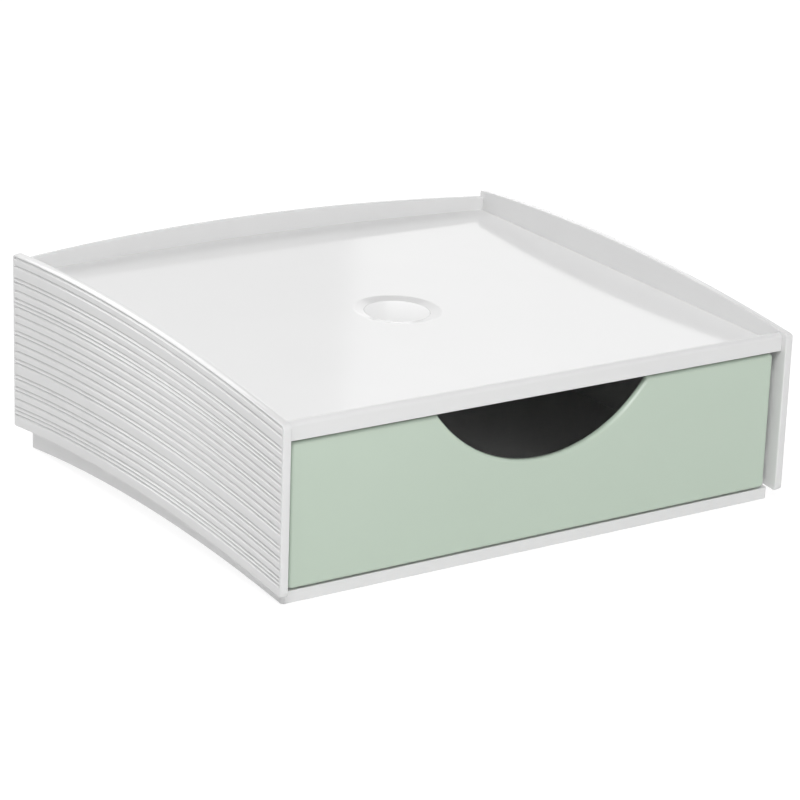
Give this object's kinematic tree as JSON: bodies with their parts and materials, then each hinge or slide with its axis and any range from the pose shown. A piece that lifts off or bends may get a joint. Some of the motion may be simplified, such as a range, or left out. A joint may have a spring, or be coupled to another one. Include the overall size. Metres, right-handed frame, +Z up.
{
  "type": "storage drawer box",
  "caption": "Low desk-top storage box: white housing with page-ribbed arched sides, a sloping tray top with a lip, and one mint sliding drawer with a round finger cut-out.",
  "frame": {"origin": "on the table, under the middle of the box", "axes": "+X to the right seen from the front, -Y out of the front (the way the drawer opens), +Z up"},
  "size_m": [0.26, 0.239, 0.0909],
  "materials": {
    "white_plastic": "polished moulded white",
    "mint_plastic": "polished moulded mint green",
    "foot_rubber": "matte soft grey",
    "screw_steel": "zinc plated"
  },
  "bodies": {
    "housing": {"left_side_panel": "white_plastic", "right_side_panel": "white_plastic", "base": "white_plastic", "front_left_foot": "foot_rubber", "front_right_foot": "foot_rubber", "rear_left_foot": "foot_rubber", "rear_right_foot": "foot_rubber", "top_tray": "white_plastic", "badge_disc": "white_plastic", "back_panel": "white_plastic", "base_screws": "screw_steel", "tray_screws": "screw_steel", "back_screws": "screw_steel"},
    "drawer": {"drawer_front": "mint_plastic", "drawer_tub": "white_plastic", "drawer_front_screws": "screw_steel"}
  },
  "joints": [
    {"name": "drawer_slide", "type": "slide", "parent": "housing", "child": "drawer", "axis": [0, -1, 0], "range_m": [0, 0.16]}
  ]
}
